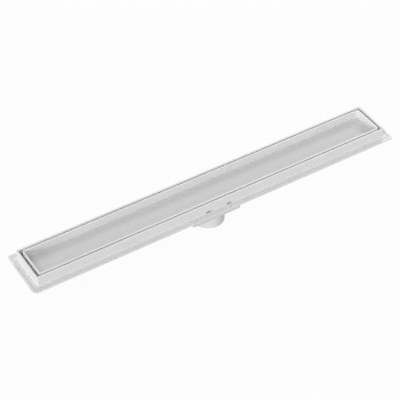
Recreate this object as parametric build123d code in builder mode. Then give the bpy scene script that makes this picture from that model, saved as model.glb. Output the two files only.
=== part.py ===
"""Linear shower drain with a tile-insert tray, a sump, a bell trap and a downward outlet.

The origin is the centre of the outlet's lower end. X runs along the channel and Z points up.
All sizes are in millimetres.
"""

import os

from build123d import *

os.makedirs("parts", exist_ok=True)

# Tray that holds a strip of floor tile
tray_length = 694.0
tray_width = 63.6
tray_corner = 5.0
tray_wall = 3.1
tray_floor = 2.2
tray_floor_round = 0.8
tile_depth = 15.0

# Feet under the tray, which stand on the trough floor, and the outer ones that also keep it central
foot_size = 10.0
foot_edge = 1.0
foot_inset = 36.3
feet_per_side = 6
end_foot_spacing = 44.0
guide_gap = 0.4

# Open slot between the tray and the body, which takes the water
slot_side = 3.0
slot_end = 4.5

# Channel body
body_wall = 3.2
body_floor = 2.6
body_corner = 3.0
pocket_corner = 0.8
rim_round = 0.5
water_height = 8.1
floor_fall = 3.0

# Flange that is bedded in the screed
flange_depth = 18.0
flange_reach = 12.4
flange_thickness = 2.5
flange_corner = 6.0
flange_edge_round = 0.6
wall_root_round = 1.5
groove_end_inset = 5.3
groove_side_inset = 6.2
groove_width = 3.4
groove_depth = 1.2
groove_corner = 4.5

# Weep slots through the side walls, level with the flange and a little left of the spout's middle
weep_spacing = 42.0
weep_offset = 2.5
weep_length = 10.0
weep_sink = 1.6
weep_rise = 1.1
weep_scoop = 1.8
weep_corner = 1.0

# Outlet spout, a socket for a plain waste pipe
pipe_diameter = 50.0
pipe_clearance = 0.2
spout_wall = 4.1
socket_depth = 22.6
socket_lead_in = 1.0
spout_edge_round = 0.5

# Sump above the spout
sump_length = 99.2
sump_ledge = 0.8
sump_corner = 4.0
sump_wall = 2.5
sump_floor = 2.5
sump_depth = 19.6
sump_edge_round = 1.2

# Slotted strainer in the mouth of the sump
strainer_thickness = 2.0
strainer_land = 1.3
strainer_gap = 0.3
strainer_bar = 2.2
strainer_slots = 4
strainer_slot_length = 40.0

# Bell over the standpipe
bell_side_gap = 3.0
bell_wall = 1.8
bell_rim_gap = 4.0
bell_head_room = 6.0
bell_hole_gap = 0.4
bell_shoulder = 2.1
bell_shoulder_thickness = 1.6
bell_round = 2.5

# Standpipe, its socket in the sump floor and its rubber ring
flow_gap = 4.9
collar_wall = 2.4
collar_height = 6.0
standpipe_gap = 0.3
standpipe_wall = 3.0
standpipe_seat = 1.6
standpipe_drop = 1.7
standpipe_recess = 0.5
standpipe_round = 0.6
seal_section = 1.9
seal_touch = 0.05
seal_side_gap = 0.2

# Plan sizes of the body, worked outwards from the tray
pocket_length = tray_length + 2 * slot_end
pocket_width = tray_width + 2 * slot_side
body_length = pocket_length + 2 * body_wall
body_width = pocket_width + 2 * body_wall
flange_length = body_length + 2 * flange_reach
flange_width = body_width + 2 * flange_reach

# Plan sizes of the outlet and the trap, worked inwards from the pipe
socket_radius = pipe_diameter / 2 + pipe_clearance
spout_radius = socket_radius + spout_wall
sump_width = 2 * (spout_radius + sump_ledge)
sump_inner_length = sump_length - 2 * sump_wall
sump_inner_width = sump_width - 2 * sump_wall
sump_inner_corner = sump_corner - sump_wall
bell_radius = sump_inner_width / 2 - bell_side_gap
bell_inner_radius = bell_radius - bell_wall
collar_radius = bell_inner_radius - flow_gap
throat_radius = collar_radius - collar_wall
standpipe_radius = throat_radius - standpipe_gap
standpipe_bore_radius = standpipe_radius - standpipe_wall
seal_groove_radius = throat_radius - seal_section - 2 * seal_touch

# Levels, worked up from the lower end of the spout
sump_floor_z = socket_depth + sump_floor
mouth_z = sump_floor_z + sump_depth
floor_end_z = mouth_z + floor_fall
tray_under_z = floor_end_z + water_height
tile_bed_z = tray_under_z + tray_floor
rim_z = tile_bed_z + tile_depth
flange_z = rim_z - flange_depth
collar_z = sump_floor_z + collar_height
standpipe_top_z = mouth_z - standpipe_drop
standpipe_end_z = socket_depth + standpipe_recess
seal_z = (standpipe_end_z + collar_z) / 2
bell_rim_z = sump_floor_z + bell_rim_gap
bell_ceiling_z = standpipe_top_z + bell_head_room
strainer_z = mouth_z - strainer_thickness

# Space inside the trough, with a floor that falls from both ends to the sump's mouth
with BuildPart() as trough_space:
    with BuildSketch(Plane.XZ):
        with BuildLine():
            Polyline(
                (-pocket_length / 2, rim_z),
                (-pocket_length / 2, floor_end_z),
                (-sump_length / 2, mouth_z),
                (sump_length / 2, mouth_z),
                (pocket_length / 2, floor_end_z),
                (pocket_length / 2, rim_z),
                close=True,
            )
        make_face()
    extrude(amount=pocket_width / 2, both=True)
    fillet(trough_space.edges().filter_by(Axis.Z), pocket_corner)

# Channel body, one moulding
with BuildPart() as channel_body:
    # Trough, solid at first
    with BuildSketch(Plane.XZ):
        with BuildLine():
            Polyline(
                (-body_length / 2, rim_z),
                (-body_length / 2, floor_end_z - body_floor),
                (-sump_length / 2, mouth_z - body_floor),
                (sump_length / 2, mouth_z - body_floor),
                (body_length / 2, floor_end_z - body_floor),
                (body_length / 2, rim_z),
                close=True,
            )
        make_face()
    extrude(amount=body_width / 2, both=True)
    fillet(channel_body.edges().filter_by(Axis.Z), body_corner)

    # Flange, with a rounded root to the wall and a rounded outer edge
    with BuildSketch(Plane.XY.offset(flange_z - flange_thickness)):
        RectangleRounded(flange_length, flange_width, flange_corner)
    extrude(amount=flange_thickness)
    flange_top = channel_body.faces().filter_by(Plane.XY).sort_by(Axis.Z)[-2]
    fillet(flange_top.inner_wires()[0].edges(), wall_root_round)
    flange_top = channel_body.faces().filter_by(Plane.XY).sort_by(Axis.Z)[-2]
    fillet(flange_top.outer_wire().edges(), flange_edge_round)

    # Sump and spout below the trough
    with BuildSketch(Plane.XY.offset(socket_depth)):
        RectangleRounded(sump_length, sump_width, sump_corner)
    extrude(amount=sump_floor + sump_depth)
    sump_underside = channel_body.faces().filter_by(Plane.XY).sort_by(Axis.Z)[0]
    fillet(sump_underside.outer_wire().edges(), sump_edge_round)
    with BuildSketch():
        Circle(spout_radius)
    extrude(amount=socket_depth)
    spout_end = channel_body.faces().filter_by(Plane.XY).sort_by(Axis.Z)[0]
    fillet(spout_end.outer_wire().edges(), spout_edge_round)

    # Hollow of the trough, and its rim
    add(trough_space.part, mode=Mode.SUBTRACT)
    fillet(channel_body.faces().sort_by(Axis.Z)[-1].edges(), rim_round)

    # Hollow of the sump, with a rebate for the strainer at its mouth
    with BuildSketch(Plane.XY.offset(sump_floor_z)):
        RectangleRounded(sump_inner_length, sump_inner_width, sump_inner_corner)
    extrude(amount=sump_depth, mode=Mode.SUBTRACT)
    with BuildSketch(Plane.XY.offset(strainer_z)):
        RectangleRounded(
            sump_inner_length + 2 * strainer_land,
            sump_inner_width + 2 * strainer_land,
            sump_inner_corner + strainer_land,
        )
    extrude(amount=strainer_thickness, mode=Mode.SUBTRACT)

    # Collar round the outlet, the throat through it and the pipe socket below
    with BuildSketch(Plane.XY.offset(sump_floor_z)):
        Circle(collar_radius)
    extrude(amount=collar_height)
    with BuildSketch(Plane.XY.offset(socket_depth)):
        Circle(throat_radius)
    extrude(amount=sump_floor + collar_height, mode=Mode.SUBTRACT)
    with BuildSketch():
        Circle(socket_radius)
    extrude(amount=socket_depth, mode=Mode.SUBTRACT)
    socket_mouth = channel_body.faces().filter_by(Plane.XY).sort_by(Axis.Z)[0].inner_wires()[0]
    chamfer(socket_mouth.edges(), socket_lead_in)

    # Groove round the top of the flange
    groove_length = flange_length - 2 * groove_end_inset + groove_width
    groove_breadth = flange_width - 2 * groove_side_inset + groove_width
    with BuildSketch(Plane.XY.offset(flange_z)):
        RectangleRounded(groove_length, groove_breadth, groove_corner)
        offset(amount=-groove_width, mode=Mode.SUBTRACT)
    extrude(amount=-groove_depth, mode=Mode.SUBTRACT)

    # Weep slots, sunk a little into the flange
    weep_cut = body_wall + 2 * weep_scoop
    with BuildSketch(Plane.XY.offset(flange_z - weep_sink)):
        with Locations((-weep_offset, 0)):
            with GridLocations(weep_spacing, pocket_width + body_wall, 2, 2):
                RectangleRounded(weep_length, weep_cut, weep_corner)
    extrude(amount=weep_sink + weep_rise, mode=Mode.SUBTRACT)

# Tile tray, one moulding
with BuildPart() as tile_tray:
    with BuildSketch(Plane.XY.offset(tray_under_z)):
        RectangleRounded(tray_length, tray_width, tray_corner)
    extrude(amount=tray_floor + tile_depth)
    with BuildSketch(Plane.XY.offset(tile_bed_z)):
        RectangleRounded(tray_length - 2 * tray_wall, tray_width - 2 * tray_wall, tray_corner - tray_wall)
    extrude(amount=tile_depth, mode=Mode.SUBTRACT)
    fillet(tile_tray.faces().sort_by(Axis.Z)[-1].edges(), rim_round)
    tile_bed = tile_tray.faces().filter_by(Plane.XY).sort_by(Axis.Z)[-2]
    fillet(tile_bed.edges(), tray_floor_round)

    # Feet, made too tall and then cut off by the trough's floor. Those at the corners and the ends
    # reach across the slot to the body's walls.
    foot_span = tray_length - 2 * foot_inset
    foot_rows = tray_width - 2 * foot_edge - foot_size
    side_guide = foot_size + foot_edge + slot_side - guide_gap
    end_guide = foot_size + foot_edge + slot_end - guide_gap
    with BuildSketch(Plane.XY.offset(mouth_z)):
        with GridLocations(foot_span / (feet_per_side - 1), foot_rows, feet_per_side, 2):
            Rectangle(foot_size, foot_size)
        with GridLocations(foot_span, pocket_width - 2 * guide_gap - side_guide, 2, 2):
            Rectangle(foot_size, side_guide)
        with GridLocations(pocket_length - 2 * guide_gap - end_guide, end_foot_spacing, 2, 2):
            Rectangle(end_guide, foot_size)
    extrude(amount=tray_under_z - mouth_z)
    add(trough_space.part, mode=Mode.INTERSECT)

# Hair strainer, a slotted plate with a round hole for the bell
with BuildPart() as hair_strainer:
    bell_hole_radius = bell_radius + bell_hole_gap
    strainer_reach = strainer_land - strainer_gap
    slot_field_start = bell_hole_radius + strainer_bar / 2
    slot_field_end = sump_inner_length / 2 - strainer_bar / 2
    strainer_pitch = (slot_field_end - slot_field_start) / strainer_slots
    slot_field_centre = (slot_field_start + slot_field_end) / 2
    with BuildSketch(Plane.XY.offset(strainer_z)):
        RectangleRounded(
            sump_inner_length + 2 * strainer_reach,
            sump_inner_width + 2 * strainer_reach,
            sump_inner_corner + strainer_reach,
        )
        Circle(bell_hole_radius, mode=Mode.SUBTRACT)
        with GridLocations(2 * slot_field_centre, 0, 2, 1):
            with GridLocations(strainer_pitch, 0, strainer_slots, 1):
                SlotOverall(
                    strainer_slot_length,
                    strainer_pitch - strainer_bar,
                    rotation=90,
                    mode=Mode.SUBTRACT,
                )
    extrude(amount=strainer_thickness)

# Trap bell, an inverted cup that hangs by its shoulder in the strainer's hole
with BuildPart() as trap_bell:
    bell_top_z = bell_ceiling_z + bell_wall
    shoulder_radius = bell_hole_radius + bell_shoulder
    with BuildSketch(Plane.XZ):
        with BuildLine():
            Polyline(
                (0, bell_ceiling_z),
                (bell_inner_radius, bell_ceiling_z),
                (bell_inner_radius, bell_rim_z),
                (bell_radius, bell_rim_z),
                (bell_radius, mouth_z),
                (shoulder_radius, mouth_z),
                (shoulder_radius, mouth_z + bell_shoulder_thickness),
                (bell_radius, mouth_z + bell_shoulder_thickness),
                (bell_radius, bell_top_z),
                (0, bell_top_z),
                close=True,
            )
        make_face()
    revolve(axis=Axis.Z)
    fillet(trap_bell.faces().sort_by(Axis.Z)[-1].edges(), bell_round)

# Trap standpipe, which plugs into the throat and sets the water level
with BuildPart() as trap_standpipe:
    seal_groove_half = seal_section / 2 + seal_side_gap
    with BuildSketch(Plane.XZ):
        with BuildLine():
            Polyline(
                (standpipe_bore_radius, standpipe_end_z),
                (standpipe_radius, standpipe_end_z),
                (standpipe_radius, seal_z - seal_groove_half),
                (seal_groove_radius, seal_z - seal_groove_half),
                (seal_groove_radius, seal_z + seal_groove_half),
                (standpipe_radius, seal_z + seal_groove_half),
                (standpipe_radius, collar_z),
                (collar_radius, collar_z),
                (collar_radius, collar_z + standpipe_seat),
                (standpipe_radius, collar_z + standpipe_seat),
                (standpipe_radius, standpipe_top_z),
                (standpipe_bore_radius, standpipe_top_z),
                close=True,
            )
        make_face()
    revolve(axis=Axis.Z)
    fillet(trap_standpipe.faces().sort_by(Axis.Z)[-1].edges(), standpipe_round)
    chamfer(trap_standpipe.faces().sort_by(Axis.Z)[0].outer_wire().edges(), standpipe_round)

# Rubber ring in the standpipe's groove
with BuildPart() as standpipe_seal:
    with BuildSketch(Plane.XZ):
        with Locations((throat_radius - seal_touch - seal_section / 2, seal_z)):
            Circle(seal_section / 2)
    revolve(axis=Axis.Z)

channel_body.part.label = "channel_body"
export_step(channel_body.part, "parts/channel_body.step")

tile_tray.part.label = "tile_tray"
export_step(tile_tray.part, "parts/tile_tray.step")

hair_strainer.part.label = "hair_strainer"
export_step(hair_strainer.part, "parts/hair_strainer.step")

trap_bell.part.label = "trap_bell"
export_step(trap_bell.part, "parts/trap_bell.step")

trap_standpipe.part.label = "trap_standpipe"
export_step(trap_standpipe.part, "parts/trap_standpipe.step")

standpipe_seal.part.label = "standpipe_seal"
export_step(standpipe_seal.part, "parts/standpipe_seal.step")
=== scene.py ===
"""Finishes, studio and camera for the linear shower drain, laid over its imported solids.

The solids keep their own shapes. Each gets its moulded or rubber finish here, the drain stands on a
pale floor under soft light, and the camera looks from the photograph's angle. Sizes are in metres.
"""

from __future__ import annotations

import logging
import math
from dataclasses import dataclass, field
from enum import Enum
from typing import Any, Mapping, Optional

import bmesh
import bpy
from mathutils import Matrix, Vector


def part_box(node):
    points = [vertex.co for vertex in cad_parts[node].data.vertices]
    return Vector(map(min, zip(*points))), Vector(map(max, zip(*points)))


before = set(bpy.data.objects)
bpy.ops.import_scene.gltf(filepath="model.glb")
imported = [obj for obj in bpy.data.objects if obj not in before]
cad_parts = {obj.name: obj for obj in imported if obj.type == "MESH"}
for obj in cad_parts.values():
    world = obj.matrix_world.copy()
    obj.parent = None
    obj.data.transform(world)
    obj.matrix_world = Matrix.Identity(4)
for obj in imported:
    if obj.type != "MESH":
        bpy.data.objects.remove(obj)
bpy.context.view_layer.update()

log = logging.getLogger("shower_drain")

Colour = tuple[float, float, float]
Point = tuple[float, float, float]
Span = tuple[float, float]

WHITE: Colour = (1.0, 1.0, 1.0)
UNIT_SPAN: Span = (0.0, 1.0)
MM_PER_METRE = 1000.0


class MixSocket(int, Enum):
    """Socket numbers of a colour Mix node, whose sockets share their names with other types."""

    FACTOR = 0
    FIRST = 6
    SECOND = 7
    RESULT = 2


class ShaderGraph:
    """One node tree, with short calls that add nodes and fill or link their inputs."""

    def __init__(self, tree: bpy.types.NodeTree) -> None:
        """Keep the tree and clear it.

        Args:
            tree: node tree of a material or of the world.
        """
        self.tree = tree
        self.tree.nodes.clear()

    def add(self, kind: str, inputs: Optional[Mapping[Any, Any]] = None, **settings: Any) -> bpy.types.Node:
        """Add a node.

        Args:
            kind: node type without its ShaderNode prefix, such as TexNoise.
            inputs: value, or output socket to link, for each input by name or number.
            settings: the node's own settings by name.

        Returns:
            The new node.
        """
        node = self.tree.nodes.new(f"ShaderNode{kind}")
        for name, value in settings.items():
            setattr(node, name, value)
        for key, value in (inputs or {}).items():
            socket = node.inputs[key]
            if isinstance(value, bpy.types.NodeSocket):
                self.tree.links.new(value, socket)
            else:
                socket.default_value = value
        return node

    def noise(
        self,
        vector: bpy.types.NodeSocket,
        pitch: float,
        detail: float = 2.0,
        layer_share: float = 0.55,
    ) -> bpy.types.NodeSocket:
        """Add a noise pattern.

        Args:
            vector: coordinates of the pattern, in metres.
            pitch: distance between its lumps, in metres.
            detail: how many finer layers it has.
            layer_share: strength of each finer layer, as a share of the one before.

        Returns:
            The pattern's value, about 0.5 on average.
        """
        inputs = {"Vector": vector, "Scale": 1.0 / pitch, "Detail": detail, "Roughness": layer_share}
        return self.add("TexNoise", inputs).outputs["Fac"]

    def remap(
        self,
        value: bpy.types.NodeSocket,
        source: Span,
        target: Span = UNIT_SPAN,
        smooth: bool = False,
    ) -> bpy.types.NodeSocket:
        """Carry a value from one range to another, held at the ends.

        Args:
            value: the value to carry over.
            source: range that it comes from.
            target: range that it goes to.
            smooth: whether the ends ease in and out.

        Returns:
            The value in its new range.
        """
        inputs = {
            "Value": value,
            "From Min": source[0],
            "From Max": source[1],
            "To Min": target[0],
            "To Max": target[1],
        }
        shape = "SMOOTHSTEP" if smooth else "LINEAR"
        return self.add("MapRange", inputs, interpolation_type=shape).outputs["Result"]

    def math(self, operation: str, first: Any, second: Any = 0.0) -> bpy.types.NodeSocket:
        """Work out a value from one or two others.

        Args:
            operation: Blender's name for the operation, such as MULTIPLY.
            first: first value or socket.
            second: second value or socket, for an operation that takes two.

        Returns:
            The result.
        """
        return self.add("Math", {0: first, 1: second}, operation=operation).outputs["Value"]

    def blend(self, factor: bpy.types.NodeSocket, first: Any, second: Any) -> bpy.types.NodeSocket:
        """Blend two colours.

        Args:
            factor: 0 for the first colour, 1 for the second.
            first: first colour or socket.
            second: second colour or socket.

        Returns:
            The blended colour.
        """
        inputs = {MixSocket.FACTOR: factor, MixSocket.FIRST: first, MixSocket.SECOND: second}
        return self.add("Mix", inputs, data_type="RGBA").outputs[MixSocket.RESULT]

    def relief(
        self,
        height: bpy.types.NodeSocket,
        depth: float,
        strength: float,
        coarse: Optional[bpy.types.NodeSocket] = None,
    ) -> bpy.types.NodeSocket:
        """Turn a pattern into a fine relief of the surface.

        Args:
            height: the pattern.
            depth: depth of the relief, in metres.
            strength: share of that depth that shows.
            coarse: a coarser relief that this one lies on.

        Returns:
            The relief, for a Normal input.
        """
        inputs = {"Strength": strength, "Distance": depth, "Height": height}
        if coarse is not None:
            inputs["Normal"] = coarse
        return self.add("Bump", inputs).outputs["Normal"]

    def surface(self, inputs: Mapping[Any, Any]) -> None:
        """Add the material's surface and lead it to the output.

        Args:
            inputs: value or socket for each input of the surface.
        """
        shader = self.add("BsdfPrincipled", inputs)
        self.add("OutputMaterial", {"Surface": shader.outputs["BSDF"]})


def new_material(name: str) -> tuple[bpy.types.Material, ShaderGraph]:
    """Make a material without nodes.

    Args:
        name: the material's name.

    Returns:
        The material and its empty node tree.
    """
    material = bpy.data.materials.new(name)
    material.use_nodes = True
    return material, ShaderGraph(material.node_tree)


def shade(colour: Colour, level: float = 1.0) -> tuple[float, float, float, float]:
    """Scale a colour for a colour socket.

    Args:
        colour: linear red, green and blue.
        level: what they are multiplied by.

    Returns:
        The colour with full opacity.
    """
    red, green, blue = (min(1.0, channel * level) for channel in colour)
    return red, green, blue, 1.0


@dataclass(frozen=True)
class MouldedPlastic:
    """Satin moulded plastic, with the mould's fine grain, faint flow marks and a tone that wanders.

    Attributes:
        name: name of the material.
        colour: linear colour of the clean plastic.
        tone_wander: share by which the tone goes up and down.
        cloud_pitch: distance between lighter and darker places.
        cloud_detail: finer layers in the pattern of those places.
        cloud_span: values of that pattern where the tone is darkest and lightest.
        roughness: roughness of the glossiest and the dullest places.
        flow_pitch: width of the flow marks, which run along the channel.
        flow_stretch: how many times longer than wide they are.
        flow_detail: finer layers in the pattern of the flow marks.
        flow_span: values of that pattern where the plastic is glossiest and dullest.
        flow_depth: depth of the flow marks.
        flow_strength: share of that depth that shows.
        grain_pitch: distance between the grains that the mould leaves.
        grain_depth: depth of that grain.
        grain_strength: share of that depth that shows.
        refraction: the plastic's index of refraction.
    """

    name: str
    colour: Colour
    tone_wander: float = 0.012
    cloud_pitch: float = 0.045
    cloud_detail: float = 4.0
    cloud_span: Span = (0.3, 0.7)
    roughness: Span = (0.36, 0.48)
    flow_pitch: float = 0.011
    flow_stretch: float = 9.0
    flow_detail: float = 3.0
    flow_span: Span = (0.25, 0.75)
    flow_depth: float = 0.00003
    flow_strength: float = 0.5
    grain_pitch: float = 0.0007
    grain_depth: float = 0.000012
    grain_strength: float = 0.6
    refraction: float = 1.49

    def material(self) -> bpy.types.Material:
        """Make the material.

        Returns:
            The new material.
        """
        material, graph = new_material(self.name)
        place = graph.add("TexCoord").outputs["Object"]
        along = graph.add("Mapping", {"Vector": place, "Scale": (1.0 / self.flow_stretch, 1.0, 1.0)})
        flow = graph.noise(along.outputs["Vector"], self.flow_pitch, self.flow_detail)
        marks = graph.relief(flow, self.flow_depth, self.flow_strength)
        grain = graph.noise(place, self.grain_pitch)
        graph.surface(
            {
                "Base Color": self.tone(graph, place),
                "Roughness": self.dullness(graph, place, flow),
                "Normal": graph.relief(grain, self.grain_depth, self.grain_strength, marks),
                "IOR": self.refraction,
            }
        )
        return material

    def tone(self, graph: ShaderGraph, place: bpy.types.NodeSocket) -> bpy.types.NodeSocket:
        """Add the plastic's colour, a little lighter and darker from place to place.

        Args:
            graph: the material's nodes.
            place: Object coordinates.

        Returns:
            The colour.
        """
        pattern = graph.noise(place, self.cloud_pitch, self.cloud_detail)
        cloud = graph.remap(pattern, self.cloud_span, smooth=True)
        dark = shade(self.colour, 1.0 - self.tone_wander)
        light = shade(self.colour, 1.0 + self.tone_wander)
        return graph.blend(cloud, dark, light)

    def dullness(
        self, graph: ShaderGraph, place: bpy.types.NodeSocket, flow: bpy.types.NodeSocket
    ) -> bpy.types.NodeSocket:
        """Add the plastic's roughness, which follows the flow marks.

        Args:
            graph: the material's nodes.
            place: Object coordinates, not used here; a plastic whose roughness also depends on the place
                reads it.
            flow: pattern of the flow marks.

        Returns:
            The roughness.
        """
        return graph.remap(flow, self.flow_span, self.roughness)


@dataclass(frozen=True)
class KeyedPlastic(MouldedPlastic):
    """Moulded plastic of the tray, dull on its bed, where tile adhesive keys to it, with painted shade that
    greys the recessed bed.

    Attributes:
        bed_level: height of the bed.
        bed_fade: height over which the bed's finish ends.
        bed_slope: upward part of the surface's normal where the bed's finish starts and is full.
        bed_painted_shade: share of the clean tone that the bed has, a painted shade of the recessed bed.
        bed_roughness: roughness of the bed.
        speckle_pitch: distance between the bed's light and dark grains.
        speckle_span: values of their pattern where the grains are darkest and lightest.
        speckle: share by which those grains differ.
    """

    bed_level: float = 0.058
    bed_fade: float = 0.0009
    bed_slope: Span = (0.2, 0.8)
    bed_painted_shade: float = 0.85
    bed_roughness: float = 0.62
    speckle_pitch: float = 0.0011
    speckle_span: Span = (0.35, 0.65)
    speckle: float = 0.05

    def bed(self, graph: ShaderGraph, place: bpy.types.NodeSocket) -> bpy.types.NodeSocket:
        """Add a mask of the tray's bed.

        Args:
            graph: the material's nodes.
            place: Object coordinates.

        Returns:
            1 on the bed, 0 on the rest of the tray.
        """
        height = graph.add("SeparateXYZ", {"Vector": place}).outputs["Z"]
        away = graph.math("ABSOLUTE", graph.math("SUBTRACT", height, self.bed_level))
        near = graph.remap(away, (0.0, self.bed_fade), (1.0, 0.0), smooth=True)
        facing = graph.add("NewGeometry").outputs["True Normal"]
        upward = graph.add("SeparateXYZ", {"Vector": facing}).outputs["Z"]
        return graph.math("MULTIPLY", near, graph.remap(upward, self.bed_slope, smooth=True))

    def tone(self, graph: ShaderGraph, place: bpy.types.NodeSocket) -> bpy.types.NodeSocket:
        """Add the tray's colour, speckled on the bed and greyer there as painted shade.

        Args:
            graph: the material's nodes.
            place: Object coordinates.

        Returns:
            The colour.
        """
        speckle = graph.remap(graph.noise(place, self.speckle_pitch), self.speckle_span, smooth=True)
        # The bed's lower tone is painted shade of its recess; the speckle is the bed's grain.
        dark = shade(self.colour, self.bed_painted_shade * (1.0 - self.speckle))
        light = shade(self.colour, self.bed_painted_shade * (1.0 + self.speckle))
        bed_shade_and_grain = graph.blend(speckle, dark, light)
        return graph.blend(self.bed(graph, place), super().tone(graph, place), bed_shade_and_grain)

    def dullness(
        self, graph: ShaderGraph, place: bpy.types.NodeSocket, flow: bpy.types.NodeSocket
    ) -> bpy.types.NodeSocket:
        """Add the tray's roughness, higher on the bed.

        Args:
            graph: the material's nodes.
            place: Object coordinates.
            flow: pattern of the flow marks.

        Returns:
            The roughness.
        """
        wall = super().dullness(graph, place, flow)
        extra = graph.math("SUBTRACT", self.bed_roughness, wall)
        return graph.math("ADD", wall, graph.math("MULTIPLY", extra, self.bed(graph, place)))


@dataclass(frozen=True)
class SealRubber:
    """Matt black rubber with a faint grey bloom.

    Attributes:
        name: name of the material.
        colour: linear colour of the clean rubber.
        bloom: linear colour where the bloom lies.
        bloom_pitch: distance between patches of bloom.
        bloom_detail: finer layers in the pattern of the patches.
        bloom_span: values of that pattern where the bloom starts and is full.
        roughness: roughness of the clean and the bloomed rubber.
        grain_pitch: distance between the grains of its skin.
        grain_depth: depth of that grain.
        grain_strength: share of that depth that shows.
        refraction: the rubber's index of refraction.
    """

    name: str = "seal_rubber_skin"
    colour: Colour = (0.022, 0.022, 0.023)
    bloom: Colour = (0.05, 0.05, 0.052)
    bloom_pitch: float = 0.004
    bloom_detail: float = 4.0
    bloom_span: Span = (0.4, 0.75)
    roughness: Span = (0.62, 0.85)
    grain_pitch: float = 0.0004
    grain_depth: float = 0.00002
    grain_strength: float = 0.7
    refraction: float = 1.52

    def material(self) -> bpy.types.Material:
        """Make the material.

        Returns:
            The new material.
        """
        material, graph = new_material(self.name)
        place = graph.add("TexCoord").outputs["Object"]
        pattern = graph.noise(place, self.bloom_pitch, self.bloom_detail)
        patch = graph.remap(pattern, self.bloom_span, smooth=True)
        grain = graph.noise(place, self.grain_pitch)
        graph.surface(
            {
                "Base Color": graph.blend(patch, shade(self.colour), shade(self.bloom)),
                "Roughness": graph.remap(patch, UNIT_SPAN, self.roughness),
                "Normal": graph.relief(grain, self.grain_depth, self.grain_strength),
                "IOR": self.refraction,
            }
        )
        return material


Finish = MouldedPlastic | SealRubber

MOULDED_WHITE: Colour = (0.80, 0.80, 0.80)
TRAP_GREY: Colour = (0.56, 0.58, 0.60)

WHITE_PLASTIC = MouldedPlastic("white_body_plastic", MOULDED_WHITE)
TRAY_PLASTIC = KeyedPlastic("white_tray_plastic", MOULDED_WHITE)
TRAP_PLASTIC = MouldedPlastic("grey_trap_plastic", TRAP_GREY, cloud_pitch=0.018, flow_pitch=0.006)
SEAL_RUBBER = SealRubber()


@dataclass
class SubAssembly:
    """A group of the drain's pieces that come out of the box together.

    Attributes:
        label: what the group is called in the log.
        finishes: finish of each of its solids, by the solid's name.
    """

    label: str
    finishes: dict[str, Finish]

    def dress(self) -> None:
        """Give each solid of the group its finish and report it."""
        for name, finish in self.finishes.items():
            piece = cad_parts[name]
            piece.material_slots[0].material = finish.material()
            low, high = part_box(name)
            size = " x ".join(f"{MM_PER_METRE * length:.1f}" for length in high - low)
            log.info("%s: %s, %s mm, %s", self.label, name, size, finish.name)


@dataclass
class Channel(SubAssembly):
    """Flanged trough with its sump and spout, one moulding."""

    label: str = "channel"
    finishes: dict[str, Finish] = field(default_factory=lambda: {"channel_body": WHITE_PLASTIC})


@dataclass
class TileInsert(SubAssembly):
    """Tray that takes a strip of floor tile and lifts out of the channel."""

    label: str = "tile insert"
    finishes: dict[str, Finish] = field(default_factory=lambda: {"tile_tray": TRAY_PLASTIC})


@dataclass
class BellTrap(SubAssembly):
    """Strainer, bell, standpipe and rubber ring in the sump."""

    label: str = "bell trap"
    finishes: dict[str, Finish] = field(
        default_factory=lambda: {
            "hair_strainer": TRAP_PLASTIC,
            "trap_bell": TRAP_PLASTIC,
            "trap_standpipe": TRAP_PLASTIC,
            "standpipe_seal": SEAL_RUBBER,
        }
    )


def direction(azimuth: float, elevation: float) -> Vector:
    """Point from the drain towards a lamp or the camera.

    Args:
        azimuth: degrees round from the -Y side, towards +X.
        elevation: degrees above the floor.

    Returns:
        The direction, of length 1.
    """
    turn, rise = math.radians(azimuth), math.radians(elevation)
    level = math.cos(rise)
    return Vector((math.sin(turn) * level, -math.cos(turn) * level, math.sin(rise)))


class LampSide(Enum):
    """Where each soft lamp stands, as azimuth and elevation in degrees."""

    LOW_LEFT = (302.0, 12.0)
    RIGHT_BACK = (135.0, 30.0)
    HIGH_LEFT = (306.0, 45.0)
    LOW_BACK = (210.0, 12.0)


@dataclass(frozen=True)
class SoftLamp:
    """A large lamp far away, whose light is even along the drain.

    Attributes:
        side: where it stands.
        level: brightness that it alone gives a white surface that faces it.
        spread: how wide it looks from the drain, in degrees.
        distance: how far off it is drawn, which its light does not depend on.
    """

    side: LampSide
    level: float
    spread: float = 20.0
    distance: float = 3.0

    def hang(self) -> None:
        """Put the lamp into the scene."""
        name = f"lamp_{self.side.name.lower()}"
        data = bpy.data.lights.new(name, "SUN")
        data.energy = math.pi * self.level
        data.angle = math.radians(self.spread)
        lamp = bpy.data.objects.new(name, data)
        towards = direction(*self.side.value)
        lamp.location = self.distance * towards
        lamp.rotation_euler = towards.to_track_quat("Z", "Y").to_euler()
        bpy.context.scene.collection.objects.link(lamp)


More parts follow.
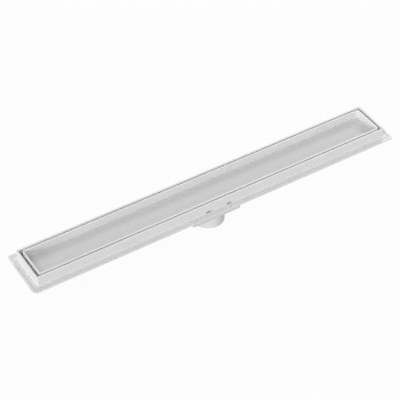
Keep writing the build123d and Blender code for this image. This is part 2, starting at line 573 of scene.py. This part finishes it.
@dataclass
class Studio:
    """Pale floor, soft lamps and the even light of the room.

    Attributes:
        floor_half: half the floor's side.
        floor_tone: how much light the floor gives back to the drain.
        floor_white: share of plain white that the camera sees on the floor, the rest being its shadows.
        room_level: brightness of the room's even light.
        white_level: brightness of plain white, as the camera sees it.
        lamps: the soft lamps.
    """

    floor_half: float = 6.0
    floor_tone: float = 0.70
    floor_white: float = 0.95
    room_level: float = 0.505
    white_level: float = 1.0
    lamps: tuple[SoftLamp, ...] = (
        SoftLamp(LampSide.LOW_LEFT, 0.390),
        SoftLamp(LampSide.RIGHT_BACK, 0.283),
        SoftLamp(LampSide.HIGH_LEFT, 0.190),
        SoftLamp(LampSide.LOW_BACK, 0.072),
    )

    def build(self) -> None:
        """Lay the floor, light the room and hang the lamps."""
        self.lay_floor()
        self.light_room()
        for lamp in self.lamps:
            lamp.hang()
        log.info("studio: floor of %.0f m, %d lamps", 2 * self.floor_half, len(self.lamps))

    def lay_floor(self) -> None:
        """Make the floor on which the spout stands."""
        sheet = bmesh.new()
        bmesh.ops.create_grid(sheet, x_segments=1, y_segments=1, size=self.floor_half)
        mesh = bpy.data.meshes.new("studio_floor")
        sheet.to_mesh(mesh)
        sheet.free()
        mesh.materials.append(self.floor_material())
        floor = bpy.data.objects.new("studio_floor", mesh)
        bpy.context.scene.collection.objects.link(floor)

    def seen_rays(self, graph: ShaderGraph) -> bpy.types.NodeSocket:
        """Add a mask of the rays that show the background rather than light the drain.

        Args:
            graph: nodes of the floor or the room.

        Returns:
            1 for camera, mirror and see-through rays, 0 for the rest.
        """
        path = graph.add("LightPath").outputs
        mirrored = graph.math("MAXIMUM", path["Is Glossy Ray"], path["Is Transmission Ray"])
        return graph.math("MAXIMUM", path["Is Camera Ray"], mirrored)

    def floor_material(self) -> bpy.types.Material:
        """Make the floor's material, near white to the camera but with the drain's shadow.

        Returns:
            The new material.
        """
        material, graph = new_material("pale_floor")
        paper = graph.add("BsdfDiffuse", {"Color": shade(WHITE, self.floor_tone)})
        white = graph.add("Emission", {"Strength": self.white_level, "Color": shade(WHITE)})
        share = graph.math("MULTIPLY", self.seen_rays(graph), self.floor_white)
        mixed = graph.add("MixShader", {0: share, 1: paper.outputs["BSDF"], 2: white.outputs["Emission"]})
        graph.add("OutputMaterial", {"Surface": mixed.outputs["Shader"]})
        return material

    def light_room(self) -> None:
        """Give the room its even light, white where it is seen past the floor."""
        world = bpy.data.worlds.new("studio_room")
        world.use_nodes = True
        graph = ShaderGraph(world.node_tree)
        glow = graph.add("Background", {"Strength": self.room_level, "Color": shade(WHITE)})
        white = graph.add("Background", {"Strength": self.white_level, "Color": shade(WHITE)})
        mixed = graph.add(
            "MixShader",
            {0: self.seen_rays(graph), 1: glow.outputs["Background"], 2: white.outputs["Background"]},
        )
        graph.add("OutputWorld", {"Surface": mixed.outputs["Shader"]})
        bpy.context.scene.world = world


@dataclass
class PhotoCamera:
    """Camera that stands where the photograph was taken.

    Attributes:
        azimuth: degrees round from the -Y side, towards +X.
        elevation: degrees above the floor.
        distance: distance to the target.
        target: point in the middle of the picture.
        lens: focal length, in millimetres.
        sensor: width of the sensor, in millimetres.
        sight: nearest and farthest distance that it shows.
    """

    azimuth: float = -32.017
    elevation: float = 43.297
    distance: float = 2.4859
    target: Point = (-0.029807, -0.020489, 0.072699)
    lens: float = 129.76
    sensor: float = 36.0
    sight: Span = (0.05, 60.0)

    def place(self) -> None:
        """Put the camera into the scene and set plain colour handling."""
        scene = bpy.context.scene
        data = bpy.data.cameras.new("photo_camera")
        data.lens = self.lens
        data.sensor_width = self.sensor
        data.clip_start, data.clip_end = self.sight
        camera = bpy.data.objects.new("photo_camera", data)
        back = direction(self.azimuth, self.elevation)
        camera.location = Vector(self.target) + self.distance * back
        camera.rotation_euler = back.to_track_quat("Z", "Y").to_euler()
        scene.collection.objects.link(camera)
        scene.camera = camera
        scene.view_settings.view_transform = "Standard"
        log.info("camera: %.1f mm lens, %.2f m away", self.lens, self.distance)


def main() -> None:
    """Dress the drain, build the studio and place the camera."""
    logging.basicConfig(level=logging.INFO, format="%(message)s")
    for group in (Channel(), TileInsert(), BellTrap()):
        group.dress()
    Studio().build()
    PhotoCamera().place()


if __name__ == "__main__":
    main()
